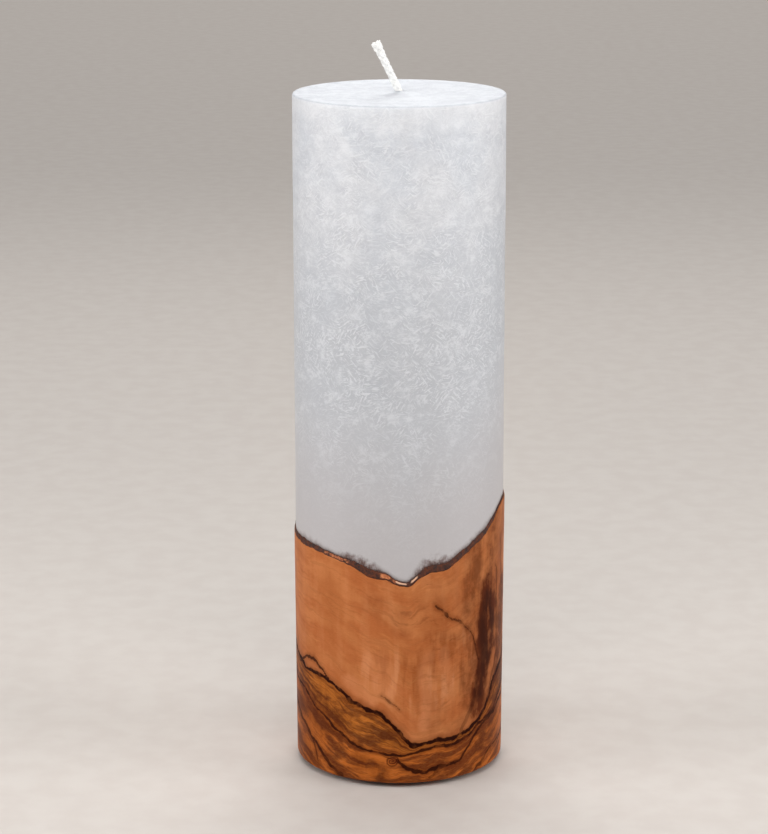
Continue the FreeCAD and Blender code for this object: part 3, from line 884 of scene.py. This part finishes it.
STRANDS = 8
STRAND_SHARE = 0.40  # a strand's radius, as a share of the wick's
STRAND_STEP = 0.5 * MM
BRAID_PITCH = 11 * MM
WEAVE = 0.15  # how far a strand rises and dips as it crosses the others, in its radii
CROSSING = 0.10 * MM  # how much deeper it dives where it goes under
RAGGED = 0.4 * MM  # how much shorter than the wick a strand may be
FLARE = 6.5 * MM  # how far down from the tip the braid has opened
CORE_SHORT = 0.2 * MM  # how far below the tip the core ends
CORE_SHARE, CORE_GROWTH = 0.80, 0.07  # its radius, as a share of the wick's, and how much more at the tip
CORE_STEPS = 200
FIBRES = 60  # loose ones at the tip
FIBRE_LENGTH = 3 * MM
FIBRE_STEPS = 6
FIBRE_RADIUS = 0.16 * MM
FIBRE_SPREAD = 0.88  # how far out the outermost ones stand, as a share of the tip's radius
FIBRE_GATHER = 0.3  # how much closer together their roots are
FIBRE_PROUD, FIBRE_UNEVEN = 0.1 * MM, 0.35 * MM  # how far the longest stand up, and how much they differ
TUBE_SIDES = 7
ASLANT = (0.3, 1, 0.1)  # a direction that no tube starts in
WICK_SEED = 11

LEAN_HEIGHTS = (3 * MM, 9 * MM)  # above the wax: where the straight part's lean is read
BEND_RADIUS = 5 * MM
BEND_START = WAX_TOP - 0.8 * MM


class WickPath:
    """The middle of the wick: upright in the wax, round a short bend, then straight at a lean."""

    def __init__(self):
        low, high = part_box("wick")
        self.bottom = low.z
        self.stem_radius = high.x
        self.tip_radius = (high.y - low.y) / 2
        skin = CadSkin("wick")
        lower, upper = (WAX_TOP + height for height in LEAN_HEIGHTS)
        self.lean = math.atan2(skin.middle_x(lower) - skin.middle_x(upper), upper - lower)
        self.bend_length = BEND_RADIUS * self.lean
        self.bend_end = self.bend_at(self.lean)
        rise = high.z - self.tip_radius * math.sin(self.lean) - self.bend_end[2]
        self.total = BEND_START - self.bottom + self.bend_length + rise / math.cos(self.lean)

    def bend_at(self, turn):
        x = -BEND_RADIUS * (1 - math.cos(turn))
        return np.array([x, 0, BEND_START + BEND_RADIUS * math.sin(turn)])

    def centre(self, run):
        """The middle of the wick and its direction, at a length from the bottom."""
        up = run - (BEND_START - self.bottom)
        if up <= 0:
            return np.array([0, 0, self.bottom + run]), 0.0
        if up <= self.bend_length:
            turn = up / BEND_RADIUS
            return self.bend_at(turn), turn
        past = up - self.bend_length
        x, _, z = self.bend_end
        return np.array([x - past * math.sin(self.lean), 0, z + past * math.cos(self.lean)]), self.lean

    def beside(self, run, angle, reach):
        """A point at a distance from the middle, at an angle round it."""
        middle_point, turn = self.centre(run)
        across = np.array([math.cos(turn), 0, math.sin(turn)])
        outwards = math.cos(angle) * across + math.sin(angle) * np.array([0, 1, 0])
        return middle_point + reach * outwards

    def opened(self, run):
        """How far the braid has opened, from 0 to 1 at the tip."""
        return smooth_step(self.total - FLARE, self.total, run)

    def radius(self, run):
        return self.stem_radius + self.opened(run) * (self.tip_radius - self.stem_radius)


def strand_route(path, strand):
    """One strand's way up the braid. It climbs by hand: 1 one way round and -1 the other."""
    hand = 1 if strand % 2 else -1
    phase = 2 * math.pi * (strand // 2) / (STRANDS / 2)
    strand_radius = STRAND_SHARE * path.stem_radius
    length = path.total - RAGGED * noise.random()
    steps = int(length / STRAND_STEP)
    route = []
    for step in range(steps + 1):
        run = length * step / steps
        turned = hand * 2 * math.pi * run / BRAID_PITCH + phase
        weave = math.sin(turned * hand * STRANDS / 2 + (0 if hand > 0 else math.pi))
        tucked = strand_radius * (1 + WEAVE - WEAVE * weave) + CROSSING * (1 - weave) / 2
        route.append(path.beside(run, turned, path.radius(run) - tucked))
    return np.array(route)


def fibre_route(path):
    """A loose fibre that stands up from the tip and spreads a little."""
    angle = 2 * math.pi * noise.random()
    reach = path.tip_radius * FIBRE_SPREAD * math.sqrt(noise.random())
    end = path.total + FIBRE_PROUD - FIBRE_UNEVEN * noise.random()
    route = []
    for run in np.linspace(end - FIBRE_LENGTH, end, FIBRE_STEPS):
        spread = 1 - FIBRE_GATHER * (end - run) / FIBRE_LENGTH
        route.append(path.beside(run, angle, reach * spread))
    return np.array(route)


def make_wick():
    path = WickPath()
    points, faces = [], []
    for strand in range(STRANDS):
        add_tube(points, faces, strand_route(path, strand), STRAND_SHARE * path.stem_radius)
    runs = np.linspace(0, path.total - CORE_SHORT, CORE_STEPS)
    core = np.array([path.centre(run)[0] for run in runs])
    add_tube(points, faces, core, (CORE_SHARE + CORE_GROWTH * path.opened(runs)) * path.radius(runs))
    for _ in range(FIBRES):
        add_tube(points, faces, fibre_route(path), FIBRE_RADIUS)
    return make_piece("braided_wick", points, faces)


def add_tube(points, faces, route, radius):
    """Adds a closed tube along a route of points. The radius may differ from point to point."""
    start = len(points)
    tangents = np.gradient(route, axis=0)
    tangents /= np.linalg.norm(tangents, axis=1)[:, None]
    across = np.cross(tangents[0], ASLANT)
    count, sides = len(route), TUBE_SIDES
    for spot, tangent, here in zip(route, tangents, np.broadcast_to(radius, count)):
        across = across - tangent * (across @ tangent)
        across /= np.linalg.norm(across)
        other = np.cross(tangent, across)
        for side in range(sides):
            turn = 2 * math.pi * side / sides
            points.append(spot + here * (math.cos(turn) * across + math.sin(turn) * other))
    for step in range(count - 1):
        for side in range(sides):
            after = (side + 1) % sides
            low, high = start + step * sides, start + (step + 1) * sides
            faces.append((low + side, low + after, high + after, high + side))
    faces.append(tuple(start + side for side in reversed(range(sides))))
    faces.append(tuple(start + (count - 1) * sides + side for side in range(sides)))


FELT_EDGE = 0.5 * MM  # how far the cut edge bulges
FUZZ, FUZZ_SIZE = 0.12 * MM, 1.1 * MM
FUZZ_ROOM = 0.1 * MM  # kept free for the fuzz inside the CAD node


def make_felt():
    """A felt disc with a soft, slightly uneven cut edge."""
    low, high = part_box("felt_pad")
    radius = high.x
    flat = radius - FELT_EDGE
    rings = [ring(share * flat, low.z) for share in (0.1, 0.3, 0.5, 0.7, 0.85, 0.95, 1.0)]
    for share in np.linspace(0, 1, FELT_EDGE_STEPS)[1:]:
        height = low.z + share * (high.z - low.z)
        bulge = math.sin(math.pi * share) ** 0.5
        fuzz = bumps(ring(radius, height), FUZZ, FUZZ_SIZE)
        rings.append(ring(flat + (FELT_EDGE - FUZZ_ROOM) * bulge + fuzz * bulge, height))
    rings += [ring(share * flat, high.z) for share in (0.95, 0.7, 0.4, 0.1)]
    return shell("felt_disc", rings, (0, 0, low.z), (0, 0, high.z))


# The anchor screws, sealed in the foot and the wax, keep their CAD shape.

SLIVER_AREA = 0.0001 * MM**2  # the smallest real face is a hundred times larger
SHARP_EDGE = math.radians(30)


def make_screws():
    """The CAD screws, without the three faces of no area that meshing leaves at their tips."""
    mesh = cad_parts["anchor_screws"].data
    faces = [tuple(face.vertices) for face in mesh.polygons if face.area > SLIVER_AREA]
    screws = make_piece("steel_anchor_screws", [vertex.co for vertex in mesh.vertices], faces)
    screws.data.set_sharp_from_angle(angle=SHARP_EDGE)
    return screws


def make_candle():
    noise.seed_set(WICK_SEED)
    wood_rows, bark_rows = live_edge()
    place(make_wood(wood_rows), "olive_wood_base", wood_material())
    place(make_bark(wood_rows, bark_rows), "bark_edge", bark_material())
    place(make_wax(bark_rows), "wax_pillar", wax_material())
    place(make_wick(), "wick", cotton_material())
    place(make_felt(), "felt_pad", felt_material())
    steel = metal_material("screw_steel", srgb(214, 212, 206), srgb(178, 176, 170))
    place(make_screws(), "anchor_screws", steel)
    tinplate = metal_material("tinplate", srgb(224, 224, 220), srgb(192, 192, 190))
    for mesh_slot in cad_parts["wick_sustainer"].material_slots:
        mesh_slot.material = tinplate


# The studio.

FLOOR_REACH = 6.0  # metres
FLOOR_SIDES = 64
MID_CANDLE = (0, 0, 0.12)
COOL = (0.95, 0.97, 1.0)
ROOM_LIGHT = 0.18  # how strong the even light from all round is


def make_floor():
    n = Nodes("studio_floor")
    speckle = n.noise(n.add("TexCoord").outputs["Object"], 90, 3)
    colour = n.mix(n.ramp(speckle, 0.3, 0.7), srgb(206, 197, 189), srgb(210, 202, 194))
    material = n.set(Base_Color=colour, Roughness=0.85)
    corners = [(0, 0, 0)]
    for side in range(FLOOR_SIDES):
        turn = 2 * math.pi * side / FLOOR_SIDES
        corners.append((FLOOR_REACH * math.cos(turn), FLOOR_REACH * math.sin(turn), 0))
    faces = [(0, side + 1, (side + 1) % FLOOR_SIDES + 1) for side in range(FLOOR_SIDES)]
    floor = make_piece("studio_floor", corners, faces)
    floor.data.materials.append(material)


def add_softbox(name, spot, size, power, aim=MID_CANDLE, tint=(1, 1, 1)):
    """An area lamp. Places and sizes are in metres and the power is in watts."""
    light = bpy.data.lights.new(name, "AREA")
    light.shape = "RECTANGLE"
    light.size, light.size_y = size
    light.energy = power
    light.color = tint
    lamp = bpy.data.objects.new(name, light)
    lamp.location = spot
    lamp.visible_camera = False
    lamp.rotation_euler = (Vector(aim) - Vector(spot)).to_track_quat("-Z", "Y").to_euler()
    bpy.context.scene.collection.objects.link(lamp)


def light_studio():
    add_softbox("overhead", (0.0, -0.60, 0.80), (0.8, 0.6), 4.9)
    add_softbox("left_side", (-1.3, -0.4, 0.62), (0.7, 0.7), 9.5, tint=COOL)
    add_softbox("right_side", (1.3, -0.4, 0.62), (0.7, 0.7), 9.5, tint=COOL)
    add_softbox("back_top", (0, 0.8, 0.7), (0.8, 0.4), 1.2)
    add_softbox("rim_lamp", (0, 0.17, 0.37), (0.14, 0.06), 0.20, aim=(0, 0, WAX_TOP))
    add_softbox("floor_wash", (0, 3, 3), (4, 4), 75, aim=(0, 2.6, 0))
    world = bpy.data.worlds.new("studio")
    bpy.context.scene.world = world
    world.use_nodes = True
    world.node_tree.nodes["Background"].inputs["Color"].default_value = srgb(232, 233, 236)
    world.node_tree.nodes["Background"].inputs["Strength"].default_value = ROOM_LIGHT
    bpy.context.scene.view_settings.view_transform = "Standard"


# The camera stands in front of the candle, above its top, and looks down at it through a long lens.

CAMERA_AWAY = 0.92  # metres in front of the candle's axis
CAMERA_HEIGHT = 0.347
CAMERA_DOWN = 13.92  # degrees below level
LENS, SENSOR = 122.1, 36  # mm
SHIFT = -0.0183  # puts the candle a little right of the picture's middle


def add_camera():
    data = bpy.data.cameras.new("camera")
    data.sensor_width = SENSOR
    data.lens = LENS
    data.shift_x = SHIFT
    data.clip_start, data.clip_end = 0.05, 50
    camera = bpy.data.objects.new("camera", data)
    camera.location = (0, -CAMERA_AWAY, CAMERA_HEIGHT)
    camera.rotation_euler = (math.radians(90 - CAMERA_DOWN), 0, 0)
    bpy.context.scene.collection.objects.link(camera)
    bpy.context.scene.camera = camera


make_candle()
make_floor()
light_studio()
add_camera()
